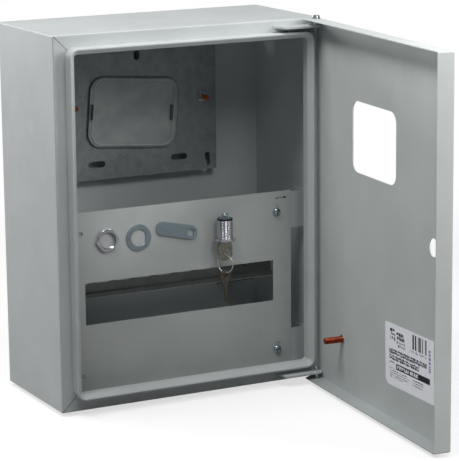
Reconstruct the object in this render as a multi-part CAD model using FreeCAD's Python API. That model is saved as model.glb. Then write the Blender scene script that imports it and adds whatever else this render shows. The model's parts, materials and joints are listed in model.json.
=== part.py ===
import FreeCAD, Part
import math
import os

V = FreeCAD.Vector

# Frame: origin at the centre of the wall holes on the back, X right, Y into the wall, Z up.
# Every length is in millimetres.

# Body
WIDTH = 310.0
HEIGHT = 395.0
DEPTH = 145.0
SHEET = 1.0
BEND = 1.5
HALF_W = WIDTH / 2
HALF_H = HEIGHT / 2
FRONT = -DEPTH
INNER_X = HALF_W - SHEET
INNER_Z = HALF_H - SHEET
BACK_IN = -SHEET

# Rim round the opening: gutter width, wall height, lip and return
GUTTER = 13.2
RIM_HIGH = 12.2
CREST_TRIM = 1.6
LIP_IN = 19.9
LIP_HIGH = 7.0
RETURN_BACK = 2.0
RIM_CORNER = 10.0

WALL_HOLE_X = HALF_W - 30.0
WALL_HOLE_Z = HALF_H - 37.5
WALL_HOLE_R = 3.5
KNOCKOUT_R = 14.0
KNOCKOUT_PITCH = 80.0
KNOCKOUT_Y = FRONT / 2
KNOCKOUT_SLIT = 0.8
KNOCKOUT_BRIDGE = 4.0

# Hinge
PIN_X = HALF_W - 12.5
PIN_Y = FRONT - 12.5
PIN_R = 2.5
PIN_CLEAR = 0.05
PIN_HEAD_GAP = 0.2
PIN_HEAD_FLATS = 8.0
PIN_HEAD_HIGH = 3.5
PIN_PAST_LEAF = 5.0
LEAF_Z = HALF_H - 8.5
LEAF_THICK = 2.0
LEAF_LEFT = PIN_X - 44.5
LEAF_LUG_R = 6.0
LEAF_LEG = 6.2
LEAF_FOOT = 2.0
LEAF_TAPER = 5.0
REST_ANGLE = 85.0

# Door
DOOR_GAP = 1.5
DOOR_DEEP = 18.5
DOOR_FRONT = FRONT - DOOR_GAP - DOOR_DEEP
DOOR_BACK = FRONT - DOOR_GAP
DOOR_INNER = DOOR_FRONT + SHEET
DOOR_LEFT = -HALF_W
DOOR_RIGHT = PIN_X + 12.0
DOOR_HINGE_FLANGE = 4.0
NOSE_START = 4.5
NOSE_END = 1.0
WINDOW_X = 15.5
WINDOW_Z = HALF_H - 114.0
WINDOW_W = 100.0
WINDOW_H = 75.0
WINDOW_CORNER = 12.0
LOCK_HOLE_X = DOOR_LEFT + 38.4
LOCK_HOLE_Z = 0.0
LOCK_HOLE_R = 9.3
EARTH_X = PIN_X - 52.2
EARTH_Z = 56.0 - HALF_H
EARTH_R = 3.6
EARTH_LONG = 21.0
EARTH_WASHER_R = 5.4
EARTH_WASHER_THICK = 0.8
STUD_R = 3.0
STUD_TIP = 0.6
LABEL_WIDE = 112.0
LABEL_HIGH = 65.2
LABEL_X = DOOR_LEFT + 86.0
LABEL_Z = 69.4 - HALF_H
LABEL_TILT = 1.7
LABEL_THICK = 0.15
LABEL_CORNER = 2.0
LABEL_ROUND = 8.0

# Meter plate
PLATE_FRONT = -12.5
PLATE_HALF = WINDOW_W / 2 + 47.0
PLATE_HIGH = HALF_H - 19.0
PLATE_LOW = PLATE_HIGH - 160.0
METER_SLOT_X = 50.0
METER_SLOT_Z = PLATE_LOW + 17.0
METER_SLOT_LONG = 20.0
METER_SLOT_R = 3.5
SIDE_SLOT_X = PLATE_HALF - 11.5
SIDE_SLOT_Z = PLATE_LOW + 11.5
SIDE_SLOT_LONG = 15.0
SIDE_SLOT_R = 3.25
TOP_SLOT_Z = PLATE_HIGH - 22.3
TOP_SLOT_LONG = 18.0
PLATE_STUD_X = PLATE_HALF - 18.0
PLATE_STUD_Z = (PLATE_LOW + PLATE_HIGH) / 2 + 2.5
PLATE_STUD_TIP = PLATE_FRONT - 14.5
STUD_HOLE_R = 3.3
STUD_WASHER_R = 6.0
STUD_WASHER_THICK = 1.2
STUD_NUT_FLATS = 10.0
STUD_NUT_HIGH = 5.0

# Inner panel
PANEL_FRONT = -115.0
PANEL_BACK = PANEL_FRONT + SHEET
PANEL_HALF = HALF_W - LIP_IN - 0.6
PANEL_LOW = 6.0 - HALF_H
PANEL_HIGH = PANEL_LOW + 198.0
CUTOUT_HALF = PANEL_HALF - 22.0
CUTOUT_LOW = PANEL_LOW + 76.5
CUTOUT_HIGH = CUTOUT_LOW + 45.5
PANEL_SCREW_X = PANEL_HALF - 17.5
PANEL_SCREW_HIGH = PANEL_HIGH - 22.7
PANEL_SCREW_LOW = PANEL_LOW + 21.0
PANEL_SCREW_LONG = 9.0
PANEL_SCREW_R = 2.4
PANEL_SLOT_R = 2.75
PANEL_SLOT_UP = 2.6
PANEL_SLOT_LONG = 12.0
PANEL_HOLE_R = 3.0
PANEL_HEAD_R = 4.6
PANEL_HEAD_HIGH = 3.0
BRACKET_THICK = 1.5
BRACKET_IN = PANEL_SCREW_X - 10.0
BRACKET_HALF_Z = 20.0
BRACKET_DEEP = 24.0
BRACKET_Z = {"upper": PANEL_SCREW_HIGH + 0.7, "lower": PANEL_SCREW_LOW + 1.0}

# Rail for the switchgear, 35 x 7.5
RAIL_FRONT = -55.0
RAIL_DEEP = 7.5
RAIL_Z = CUTOUT_LOW + 30.2
RAIL_HALF = 17.5
RAIL_HAT = 13.5
RAIL_LONG = 2 * HALF_W - 20.0
RAIL_BACK = RAIL_FRONT + RAIL_DEEP
RAIL_SLOT_LONG = 18.0
RAIL_SLOT_R = 3.1
RAIL_PITCH = 25.0
RAIL_SLOT_PAIRS = 5
RAIL_SCREW_X = RAIL_PITCH * (RAIL_SLOT_PAIRS - 0.5)
RAIL_SCREW_R = 2.5
RAIL_SCREW_LONG = 10.0
RAIL_HEAD_R = 4.6
RAIL_HEAD_HIGH = 3.0
SUPPORT_WIDE = 25.0
SUPPORT_THICK = 1.5
SUPPORT_HALF_Z = 21.0
SUPPORT_FOOT = 12.0

# Window pane lying on the meter plate, its clips towards the opening
PANE_X = -5.5
PANE_Z = PLATE_LOW + 71.5
PANE_W = 108.0
PANE_H = 78.0
PANE_CORNER = 16.0
PANE_THICK = 2.5
PANE_RIM = 1.2
PANE_RIM_HIGH = 1.0
PANE_TILT = 4.5
CLIP_HIGH = 4.0
CLIP_LONG = 17.0

# Lock lying on the inner panel, its axis upright, key pointing down
LOCK_X = 47.6
LOCK_DROP = PANEL_HIGH - 6.5
LOCK_FLANGE_R = 11.5
LOCK_Y = PANEL_FRONT - LOCK_FLANGE_R
LOCK_FACE = LOCK_DROP - 38.7
LOCK_FLANGE_TOP = LOCK_FACE + 3.2
LOCK_FLANGE_EDGE = 1.2
LOCK_TOP = LOCK_FACE + 23.0
LOCK_R = 9.0
LOCK_FLAT = 8.4
PLUG_R = 6.0
PLUG_CLEAR = 0.05
PLUG_PROUD = 0.4
COLLAR_R = 8.5
COLLAR_GAP = 0.1
COLLAR_HIGH = 1.8
CAM_SCREW_HEAD_R = 3.85
CAM_SCREW_HEAD_HIGH = 3.2
CAM_SCREW_TOP = LOCK_TOP + 6.7
CAM_SCREW_R = 2.5
KEY_THICK = 1.8
KEY_BLADE = 7.0
KEY_BLADE_LONG = 20.0
KEYWAY_CLEAR = 0.1
KEY_BOW_WIDE = 17.0
KEY_BOW_LONG = 21.6
KEY_BOW_CORNER = 7.5
KEY_HOLE_Z = LOCK_FACE - 13.8
KEY_HOLE_R = 3.2
RING_R = 9.5
RING_WIRE = 0.65
RING_CLEAR = 0.35
RING_TURN = -60.0
RING_Z = KEY_HOLE_Z - KEY_HOLE_R + RING_WIRE + RING_CLEAR - RING_R
SPARE_HOLE_Z = RING_Z - RING_R + RING_WIRE + RING_CLEAR - KEY_HOLE_R
SPARE_BOW_R = 7.0
SPARE_BOW_Z = SPARE_HOLE_Z - 2.0
SPARE_NECK = 5.0
SPARE_SHOULDER_Z = SPARE_BOW_Z - 10.0
SPARE_BLADE = 3.9
SPARE_TIP = SPARE_BOW_Z - 29.5

# Loose lock parts on the inner panel
NUT_X = 26.1 - CUTOUT_HALF
NUT_Z = PANEL_HIGH - 32.2
NUT_FLATS = 23.0
NUT_HOLE_R = 8.3
NUT_HIGH = 3.0
WASHER_X = NUT_X + 36.8
WASHER_Z = PANEL_HIGH - 33.5
WASHER_R = 14.5
WASHER_HOLE_R = 9.0
WASHER_FLAT = 8.0
WASHER_THICK = 1.2
CAM_X = -5.0
CAM_Z = PANEL_HIGH - 30.0
CAM_LONG = 49.0
CAM_WIDE = 15.0
CAM_CORNER = 4.5
CAM_THICK = 2.0
CAM_TILT = 12.5
CAM_HOLE = 7.0


def box(x0, x1, y0, y1, z0, z1):
    return Part.makeBox(x1 - x0, y1 - y0, z1 - z0, V(x0, y0, z0))


def rod_y(x, z, r, y0, y1):
    return Part.makeCylinder(r, y1 - y0, V(x, y0, z), V(0, 1, 0))


def rod_z(x, y, r, z0, z1):
    return Part.makeCylinder(r, z1 - z0, V(x, y, z0), V(0, 0, 1))


def rounded_wire(points, radii):
    """Closed wire through flat points, each corner turned with its own radius."""
    count = len(points)
    edges = []
    starts = []
    ends = []
    for i in range(count):
        p = points[i]
        to_prev = points[i - 1].sub(p)
        to_next = points[(i + 1) % count].sub(p)
        r = radii[i]
        if r <= 0:
            starts.append(p)
            ends.append(p)
            continue
        a = to_prev.normalize()
        b = to_next.normalize()
        half = a.getAngle(b) / 2
        run = r / math.tan(half)
        first = p + a * run
        last = p + b * run
        middle_dir = (a + b).normalize()
        middle = p + middle_dir * (r / math.sin(half) - r)
        starts.append(first)
        ends.append(last)
        edges.append((i, Part.Arc(first, middle, last).toShape()))
    arcs = dict(edges)
    ordered = []
    for i in range(count):
        if i in arcs:
            ordered.append(arcs[i])
        nxt = (i + 1) % count
        if ends[i].sub(starts[nxt]).Length > 1e-6:
            ordered.append(Part.makeLine(ends[i], starts[nxt]))
    return Part.Wire(ordered)


def plate_y(corners, radii, y0, y1):
    """Flat plate from (x, z) corners between two depths."""
    points = [V(x, y0, z) for x, z in corners]
    return Part.Face(rounded_wire(points, radii)).extrude(V(0, y1 - y0, 0))


def rect_y(x, z, wide, high, corner, y0, y1):
    hw = wide / 2
    hh = high / 2
    corners = [(x - hw, z - hh), (x + hw, z - hh), (x + hw, z + hh), (x - hw, z + hh)]
    return plate_y(corners, [corner] * 4, y0, y1)


def slot_x(x, z, long, r, y0, y1):
    """Slot lying along X, its whole length given."""
    reach = long / 2 - r
    bar = box(x - reach, x + reach, y0, y1, z - r, z + r)
    return bar.fuse([rod_y(x - reach, z, r, y0, y1), rod_y(x + reach, z, r, y0, y1)]).removeSplitter()


def slot_z(x, z, long, r, y0, y1):
    """Upright slot, its whole length given."""
    reach = long / 2 - r
    bar = box(x - r, x + r, y0, y1, z - reach, z + reach)
    return bar.fuse([rod_y(x, z - reach, r, y0, y1), rod_y(x, z + reach, r, y0, y1)]).removeSplitter()


def hexagon(centre, axis, flats, high, turn=0.0):
    corner = flats / 2 / math.cos(math.pi / 6)
    points = []
    for i in range(6):
        a = math.radians(60 * i + turn)
        if axis == "z":
            points.append(centre + V(corner * math.cos(a), corner * math.sin(a), 0))
        else:
            points.append(centre + V(corner * math.cos(a), 0, corner * math.sin(a)))
    along = V(0, 0, high) if axis == "z" else V(0, high, 0)
    return Part.Face(Part.makePolygon(points + [points[0]])).extrude(along)


def turned(shape, x, y, degrees):
    """Copy turned about an upright line."""
    out = shape.copy()
    out.rotate(V(x, y, 0), V(0, 0, 1), degrees)
    return out


def mirrored_x(shape):
    return shape.mirror(V(0, 0, 0), V(1, 0, 0))


def mirrored_z(shape):
    return shape.mirror(V(0, 0, 0), V(0, 0, 1))


def open_door(shape):
    return turned(shape, PIN_X, PIN_Y, REST_ANGLE)


def rim_profile():
    """Sheet section of the rim: (distance in from the outer edge, depth), with bend radii."""
    crest = FRONT - RIM_HIGH - CREST_TRIM * BEND
    lip = FRONT - LIP_HIGH
    end = FRONT + RETURN_BACK
    run = LIP_IN - GUTTER
    fall = lip - crest
    length = math.hypot(run, fall)
    shift_u = -fall / length * SHEET
    shift_y = run / length * SHEET
    slope = fall / run
    inner_u = GUTTER + SHEET
    inner_crest = crest + shift_y + (inner_u - GUTTER - shift_u) * slope
    back_u = LIP_IN - SHEET
    inner_lip = crest + shift_y + (back_u - GUTTER - shift_u) * slope
    section = [
        (GUTTER, FRONT, 0.0),
        (GUTTER, crest, BEND),
        (LIP_IN, lip, BEND),
        (LIP_IN, end, 0.0),
        (back_u, end, 0.0),
        (back_u, inner_lip, BEND - SHEET),
        (inner_u, inner_crest, BEND - SHEET),
        (inner_u, FRONT, 0.0),
    ]
    return section


def rim():
    section = rim_profile()
    radii = [r for u, y, r in section]
    corner_in = GUTTER + RIM_CORNER
    span_x = HALF_W - corner_in
    span_z = HALF_H - corner_in
    pieces = []
    for side in (1, -1):
        points = [V(side * (HALF_W - u), y, -span_z) for u, y, r in section]
        pieces.append(Part.Face(rounded_wire(points, radii)).extrude(V(0, 0, 2 * span_z)))
        points = [V(-span_x, y, side * (HALF_H - u)) for u, y, r in section]
        pieces.append(Part.Face(rounded_wire(points, radii)).extrude(V(2 * span_x, 0, 0)))
    points = [V(HALF_W - u, y, span_z) for u, y, r in section]
    face = Part.Face(rounded_wire(points, radii))
    turn = face.revolve(V(span_x, 0, span_z), V(0, -1, 0), 90)
    for a in (turn, mirrored_x(turn), mirrored_z(turn), mirrored_z(mirrored_x(turn))):
        pieces.append(a)
    return pieces[0].fuse(pieces[1:])


def body_shell():
    outer = box(-HALF_W, HALF_W, FRONT, 0, -HALF_H, HALF_H)
    outer = outer.makeFillet(BEND, outer.Edges)
    inner = box(-INNER_X, INNER_X, FRONT + SHEET, BACK_IN, -INNER_Z, INNER_Z)
    shell = outer.cut(inner)
    shell = shell.cut(rect_y(0, 0, WIDTH - 2 * GUTTER - 2 * SHEET, HEIGHT - 2 * GUTTER - 2 * SHEET,
                             RIM_CORNER - SHEET, FRONT - 1, FRONT + SHEET + 0.5))
    shell = shell.fuse(rim())
    cuts = []
    for x in (-WALL_HOLE_X, WALL_HOLE_X):
        for z in (-WALL_HOLE_Z, WALL_HOLE_Z):
            cuts.append(rod_y(x, z, WALL_HOLE_R, BACK_IN - 1, 1))
    for x in (-KNOCKOUT_PITCH, 0.0, KNOCKOUT_PITCH):
        low = -HALF_H - 1
        high = -INNER_Z + 1
        ring = rod_z(x, KNOCKOUT_Y, KNOCKOUT_R, low, high)
        ring = ring.cut(rod_z(x, KNOCKOUT_Y, KNOCKOUT_R - KNOCKOUT_SLIT, low, high))
        bridge = box(x - KNOCKOUT_BRIDGE / 2, x + KNOCKOUT_BRIDGE / 2, KNOCKOUT_Y - KNOCKOUT_R,
                     KNOCKOUT_Y + KNOCKOUT_R, low, high)
        cuts.append(ring.cut(bridge))
    return shell.cut(cuts).removeSplitter()


def hinge_leaf():
    """Upper leaf, cut back at its foot for the turning door edge; its leg lies on the gutter floor."""
    tip = PIN_Y - LEAF_LUG_R
    right = PIN_X + LEAF_LUG_R
    foot = PIN_X + LEAF_FOOT
    corners = [V(LEAF_LEFT, FRONT, LEAF_Z), V(LEAF_LEFT + LEAF_TAPER, tip, LEAF_Z), V(right, tip, LEAF_Z),
               V(right, PIN_Y + LEAF_FOOT, LEAF_Z), V(foot, FRONT, LEAF_Z)]
    radii = [0.0, LEAF_FOOT, LEAF_LUG_R, 0.0, 0.0]
    top = Part.Face(rounded_wire(corners, radii)).extrude(V(0, 0, LEAF_THICK))
    leg = box(LEAF_LEFT, foot, FRONT - LEAF_THICK, FRONT, LEAF_Z + LEAF_THICK - LEAF_LEG, LEAF_Z)
    leaf = top.fuse(leg).cut(rod_z(PIN_X, PIN_Y, PIN_R, LEAF_Z - 1, LEAF_Z + LEAF_THICK + 1))
    return leaf.removeSplitter()


def hinge_screw():
    under = HALF_H + PIN_HEAD_GAP
    head = hexagon(V(PIN_X, PIN_Y, under), "z", PIN_HEAD_FLATS, PIN_HEAD_HIGH, 20.0)
    bevel = Part.makeCone(PIN_HEAD_FLATS / 2 * 1.16, PIN_HEAD_FLATS / 2 * 0.94, PIN_HEAD_HIGH,
                         V(PIN_X, PIN_Y, under), V(0, 0, 1))
    head = head.common(bevel)
    shank = rod_z(PIN_X, PIN_Y, PIN_R, LEAF_Z - PIN_PAST_LEAF, under + 0.5)
    shank = shank.makeChamfer(0.5, [e for e in shank.Edges if abs(e.BoundBox.ZMax - shank.BoundBox.ZMin) < 1e-6])
    return head.fuse(shank).removeSplitter()


def door_sheet():
    """The whole folded door, closed."""
    shell = box(DOOR_LEFT, DOOR_RIGHT, DOOR_FRONT, DOOR_BACK, -HALF_H, HALF_H)
    bends = [e for e in shell.Edges if e.BoundBox.YMax < DOOR_FRONT + 0.01 or e.BoundBox.YLength > 1]
    shell = shell.makeFillet(BEND, bends)
    hollow = box(DOOR_LEFT + SHEET, DOOR_RIGHT - SHEET, DOOR_INNER, DOOR_BACK + 1, -INNER_Z, INNER_Z)
    door = shell.cut(hollow)
    hinge_back = DOOR_FRONT + DOOR_HINGE_FLANGE
    far = DOOR_RIGHT + 1
    cuts = [box(DOOR_RIGHT - SHEET - 0.5, far, hinge_back, DOOR_BACK + 1, -INNER_Z, INNER_Z)]
    low = -HALF_H - 1
    nose = [V(PIN_X + NOSE_START, DOOR_BACK + 1, low), V(PIN_X + NOSE_START, DOOR_BACK, low),
            V(DOOR_RIGHT, PIN_Y + NOSE_END, low), V(far, PIN_Y + NOSE_END, low), V(far, DOOR_BACK + 1, low)]
    cuts.append(Part.Face(Part.makePolygon(nose + [nose[0]])).extrude(V(0, 0, HEIGHT + 2)))
    cuts.append(rect_y(WINDOW_X, WINDOW_Z, WINDOW_W, WINDOW_H, WINDOW_CORNER, DOOR_FRONT - 1, DOOR_INNER + 1))
    cuts.append(rod_y(LOCK_HOLE_X, LOCK_HOLE_Z, LOCK_HOLE_R, DOOR_FRONT - 1, DOOR_INNER + 1))
    pin_hole = PIN_R + PIN_CLEAR
    cuts.append(rod_z(PIN_X, PIN_Y, pin_hole, INNER_Z - 1, HALF_H + 1))
    cuts.append(rod_z(PIN_X, PIN_Y, pin_hole, -HALF_H - 1, -INNER_Z + 1))
    return door.cut(cuts).removeSplitter()


def door_piece(piece):
    """The folded sheet shared out between its face and its four flanges."""
    reach = 1.0
    left = DOOR_LEFT - reach
    right = DOOR_RIGHT + reach
    back = DOOR_BACK + reach
    low = -HALF_H - reach
    high = HALF_H + reach
    windows = {
        "face": box(left, right, DOOR_FRONT - reach, DOOR_INNER, low, high),
        "top": box(left, right, DOOR_INNER, back, INNER_Z, high),
        "bottom": box(left, right, DOOR_INNER, back, low, -INNER_Z),
        "free": box(left, DOOR_LEFT + SHEET, DOOR_INNER, back, -INNER_Z, INNER_Z),
        "hinge": box(DOOR_RIGHT - SHEET, right, DOOR_INNER, back, -INNER_Z, INNER_Z),
    }
    return open_door(DOOR_SHEET.common(windows[piece]))


def door_earth_stud():
    stud = rod_y(EARTH_X, EARTH_Z, EARTH_R, DOOR_INNER, DOOR_INNER + EARTH_LONG)
    tip = [e for e in stud.Edges if e.BoundBox.YMin > DOOR_INNER + EARTH_LONG - 0.01]
    return open_door(stud.makeChamfer(STUD_TIP, tip))


def door_stud_washer():
    outer = rod_y(EARTH_X, EARTH_Z, EARTH_WASHER_R, DOOR_INNER, DOOR_INNER + EARTH_WASHER_THICK)
    return open_door(outer.cut(rod_y(EARTH_X, EARTH_Z, EARTH_R, DOOR_INNER - 1, DOOR_INNER + 2)))


def door_label():
    x0 = LABEL_X - LABEL_WIDE / 2
    x1 = LABEL_X + LABEL_WIDE / 2
    z0 = LABEL_Z - LABEL_HIGH / 2
    z1 = LABEL_Z + LABEL_HIGH / 2
    corners = [(x0, z0), (x1, z0), (x1, z1), (x0, z1)]
    radii = [LABEL_CORNER, LABEL_ROUND, LABEL_CORNER, LABEL_CORNER]
    label = plate_y(corners, radii, DOOR_INNER, DOOR_INNER + LABEL_THICK)
    label.rotate(V(LABEL_X, 0, LABEL_Z), V(0, 1, 0), LABEL_TILT)
    return open_door(label)


def meter_plate():
    back = PLATE_FRONT + SHEET
    face = box(-PLATE_HALF, PLATE_HALF, PLATE_FRONT, back, PLATE_LOW, PLATE_HIGH)
    left = box(-PLATE_HALF, -PLATE_HALF + SHEET, PLATE_FRONT, BACK_IN, PLATE_LOW, PLATE_HIGH)
    right = box(PLATE_HALF - SHEET, PLATE_HALF, PLATE_FRONT, BACK_IN, PLATE_LOW, PLATE_HIGH)
    plate = face.fuse([left, right]).removeSplitter()
    bends = []
    for e in plate.Edges:
        b = e.BoundBox
        if b.ZLength > 100 and abs(abs(b.XMin) - PLATE_HALF) < 0.01 and b.YMax < PLATE_FRONT + 0.01:
            bends.append(e)
    plate = plate.makeFillet(BEND, bends)
    y0 = PLATE_FRONT - 1
    y1 = back + 1
    cuts = []
    for side in (-1, 1):
        cuts.append(slot_x(side * METER_SLOT_X, METER_SLOT_Z, METER_SLOT_LONG, METER_SLOT_R, y0, y1))
        cuts.append(slot_z(side * SIDE_SLOT_X, SIDE_SLOT_Z, SIDE_SLOT_LONG, SIDE_SLOT_R, y0, y1))
        cuts.append(rod_y(side * PLATE_STUD_X, PLATE_STUD_Z, STUD_HOLE_R, y0, y1))
    cuts.append(slot_z(0, TOP_SLOT_Z, TOP_SLOT_LONG, METER_SLOT_R, y0, y1))
    return plate.cut(cuts)


def plate_studs():
    studs = []
    for side in (-1, 1):
        stud = rod_y(side * PLATE_STUD_X, PLATE_STUD_Z, STUD_R, PLATE_STUD_TIP, BACK_IN)
        tip = [e for e in stud.Edges if e.BoundBox.YMax < PLATE_STUD_TIP + 0.01]
        studs.append(stud.makeChamfer(STUD_TIP, tip))
    return Part.makeCompound(studs)


def plate_washers():
    out = []
    for side in (-1, 1):
        x = side * PLATE_STUD_X
        disc = rod_y(x, PLATE_STUD_Z, STUD_WASHER_R, PLATE_FRONT - STUD_WASHER_THICK, PLATE_FRONT)
        out.append(disc.cut(rod_y(x, PLATE_STUD_Z, STUD_R, PLATE_FRONT - 5, PLATE_FRONT + 1)))
    return Part.makeCompound(out)


def plate_nuts():
    out = []
    back = PLATE_FRONT - STUD_WASHER_THICK
    front = back - STUD_NUT_HIGH
    for side, turn in ((-1, 8.0), (1, 25.0)):
        x = side * PLATE_STUD_X
        nut = hexagon(V(x, front, PLATE_STUD_Z), "y", STUD_NUT_FLATS, STUD_NUT_HIGH, turn)
        cone = Part.makeCone(STUD_NUT_FLATS / 2 * 0.95, STUD_NUT_FLATS / 2 * 1.85, STUD_NUT_HIGH,
                             V(x, front, PLATE_STUD_Z), V(0, 1, 0))
        nut = nut.common(cone)
        out.append(nut.cut(rod_y(x, PLATE_STUD_Z, STUD_R, front - 1, back + 1)))
    return Part.makeCompound(out)


def inner_panel():
    z_mid = (PANEL_LOW + PANEL_HIGH) / 2
    panel = rect_y(0, z_mid, 2 * PANEL_HALF, PANEL_HIGH - PANEL_LOW, 1.0, PANEL_FRONT, PANEL_BACK)
    y0 = PANEL_FRONT - 1
    y1 = PANEL_BACK + 1
    cuts = [box(-CUTOUT_HALF, CUTOUT_HALF, y0, y1, CUTOUT_LOW, CUTOUT_HIGH)]
    for z in (PANEL_SCREW_HIGH, PANEL_SCREW_LOW):
        cuts.append(slot_z(PANEL_SCREW_X, z + PANEL_SLOT_UP, PANEL_SLOT_LONG, PANEL_SLOT_R, y0, y1))
        cuts.append(rod_y(-PANEL_SCREW_X, z, PANEL_HOLE_R, y0, y1))
    return panel.cut(cuts)


def panel_bracket(level, side):
    z = BRACKET_Z[level]
    z0 = z - BRACKET_HALF_Z
    z1 = z + BRACKET_HALF_Z
    face = box(BRACKET_IN, INNER_X, PANEL_BACK, PANEL_BACK + BRACKET_THICK, z0, z1)
    leg = box(INNER_X - BRACKET_THICK, INNER_X, PANEL_BACK, PANEL_BACK + BRACKET_DEEP, z0, z1)
    bracket = face.fuse(leg).removeSplitter()
    screw_z = PANEL_SCREW_HIGH if level == "upper" else PANEL_SCREW_LOW
    bracket = bracket.cut(rod_y(PANEL_SCREW_X, screw_z, PANEL_SCREW_R, PANEL_FRONT, PANEL_BACK + 5))
    return bracket if side == "right" else mirrored_x(bracket)


def pan_screw(x, z, seat, r, long, head_r, head_high):
    """Pan head screw pointing into the wall, seat is the face under its head."""
    head = rod_y(x, z, head_r, seat - head_high, seat)
    front = [e for e in head.Edges if e.BoundBox.YMax < seat - head_high + 0.01]
    head = head.makeFillet(head_high * 0.45, front)
    return head.fuse(rod_y(x, z, r, seat - 0.5, seat + long)).removeSplitter()


def panel_screws():
    out = []
    for z in (PANEL_SCREW_HIGH, PANEL_SCREW_LOW):
        out.append(pan_screw(PANEL_SCREW_X, z, PANEL_FRONT, PANEL_SCREW_R, PANEL_SCREW_LONG, PANEL_HEAD_R,
                             PANEL_HEAD_HIGH))
    return Part.makeCompound(out)


def din_rail():
    half = RAIL_LONG / 2
    web_front = RAIL_BACK - SHEET
    pieces = [box(-half, half, web_front, RAIL_BACK, RAIL_Z - RAIL_HAT, RAIL_Z + RAIL_HAT)]
    for side in (-1, 1):
        wall = sorted((RAIL_Z + side * (RAIL_HAT - SHEET), RAIL_Z + side * RAIL_HAT))
        pieces.append(box(-half, half, RAIL_FRONT, RAIL_BACK, wall[0], wall[1]))
        lip = sorted((RAIL_Z + side * (RAIL_HAT - SHEET), RAIL_Z + side * RAIL_HALF))
        pieces.append(box(-half, half, RAIL_FRONT, RAIL_FRONT + SHEET, lip[0], lip[1]))
    rail = pieces[0].fuse(pieces[1:]).removeSplitter()
    cuts = []
    for i in range(RAIL_SLOT_PAIRS):
        x = RAIL_PITCH * (i + 0.5)
        for side in (-1, 1):
            cuts.append(slot_x(side * x, RAIL_Z, RAIL_SLOT_LONG, RAIL_SLOT_R, web_front - 1, RAIL_BACK + 1))
    return rail.cut(cuts)


def rail_support(side):
    x = RAIL_SCREW_X
    hw = SUPPORT_WIDE / 2
    z0 = RAIL_Z - SUPPORT_HALF_Z
    z1 = RAIL_Z + SUPPORT_HALF_Z
    t = SUPPORT_THICK
    pieces = [
        box(x - hw, x + hw, RAIL_BACK, RAIL_BACK + t, z0, z1),
        box(x - hw, x + hw, RAIL_BACK, BACK_IN, z0, z0 + t),
        box(x - hw, x + hw, RAIL_BACK, BACK_IN, z1 - t, z1),
        box(x - hw, x + hw, BACK_IN - t, BACK_IN, z0 - SUPPORT_FOOT, z0 + t),
        box(x - hw, x + hw, BACK_IN - t, BACK_IN, z1 - t, z1 + SUPPORT_FOOT),
    ]
    support = pieces[0].fuse(pieces[1:]).removeSplitter()
    support = support.cut(rod_y(x, RAIL_Z, RAIL_SCREW_R, RAIL_BACK - 1, RAIL_BACK + 5))
    return support if side == "right" else mirrored_x(support)


def rail_screws():
    seat = RAIL_BACK - SHEET
    out = []
    for side in (-1, 1):
        out.append(pan_screw(side * RAIL_SCREW_X, RAIL_Z, seat, RAIL_SCREW_R, RAIL_SCREW_LONG, RAIL_HEAD_R,
                             RAIL_HEAD_HIGH))
    return Part.makeCompound(out)


def window_pane():
    back = PLATE_FRONT
    face = back - PANE_THICK
    pane = rect_y(PANE_X, PANE_Z, PANE_W, PANE_H, PANE_CORNER, face, back)
    rim_outer = rect_y(PANE_X, PANE_Z, WINDOW_W - 2, WINDOW_H - 2, WINDOW_CORNER, face - PANE_RIM_HIGH, face)
    rim_inner = rect_y(PANE_X, PANE_Z, WINDOW_W - 2 - 2 * PANE_RIM, WINDOW_H - 2 - 2 * PANE_RIM,
                       WINDOW_CORNER - PANE_RIM, face - PANE_RIM_HIGH - 1, face)
    pieces = [rim_outer.cut(rim_inner)]
    clip_x = WINDOW_W / 2 - 1
    clip_z = WINDOW_H / 2 - 1
    half = CLIP_LONG / 2
    for side in (-1, 1):
        xs = sorted((PANE_X + side * clip_x, PANE_X + side * (clip_x - 2.5)))
        pieces.append(box(xs[0], xs[1], face - CLIP_HIGH, face, PANE_Z - half, PANE_Z + half))
        zs = sorted((PANE_Z + side * clip_z, PANE_Z + side * (clip_z - 2.5)))
        pieces.append(box(PANE_X - 2 * half, PANE_X + 2 * half, face - CLIP_HIGH, face, zs[0], zs[1]))
    pane = pane.fuse(pieces).removeSplitter()
    pane.rotate(V(PANE_X, 0, PANE_Z), V(0, 1, 0), PANE_TILT)
    return pane


def lock_body():
    barrel = rod_z(LOCK_X, LOCK_Y, LOCK_R, LOCK_FACE + 1, LOCK_TOP)
    flats = box(LOCK_X - LOCK_FLAT, LOCK_X + LOCK_FLAT, LOCK_Y - 20, LOCK_Y + 20, LOCK_FACE, LOCK_TOP + 1)
    barrel = barrel.common(flats)
    flange = rod_z(LOCK_X, LOCK_Y, LOCK_FLANGE_R, LOCK_FACE, LOCK_FLANGE_TOP)
    face_edge = [e for e in flange.Edges if e.BoundBox.ZMax < LOCK_FACE + 0.01]
    flange = flange.makeFillet(LOCK_FLANGE_EDGE, face_edge)
    bore = rod_z(LOCK_X, LOCK_Y, PLUG_R + PLUG_CLEAR, LOCK_FACE - 1, LOCK_TOP + 1)
    return barrel.fuse(flange).removeSplitter().cut(bore)


def lock_plug():
    low = LOCK_FACE - PLUG_PROUD
    plug = rod_z(LOCK_X, LOCK_Y, PLUG_R, low, LOCK_TOP + COLLAR_GAP)
    half_w = KEY_BLADE / 2 + KEYWAY_CLEAR
    half_t = KEY_THICK / 2
    keyway = box(LOCK_X - half_w, LOCK_X + half_w, LOCK_Y - half_t, LOCK_Y + half_t, low - 1,
                 low + KEY_BLADE_LONG + 0.5)
    return plug.cut(keyway)


def lock_collar():
    low = LOCK_TOP + COLLAR_GAP
    collar = rod_z(LOCK_X, LOCK_Y, COLLAR_R, low, low + COLLAR_HIGH)
    return collar.cut(rod_z(LOCK_X, LOCK_Y, CAM_SCREW_R, low - 1, low + COLLAR_HIGH + 1))


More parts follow.
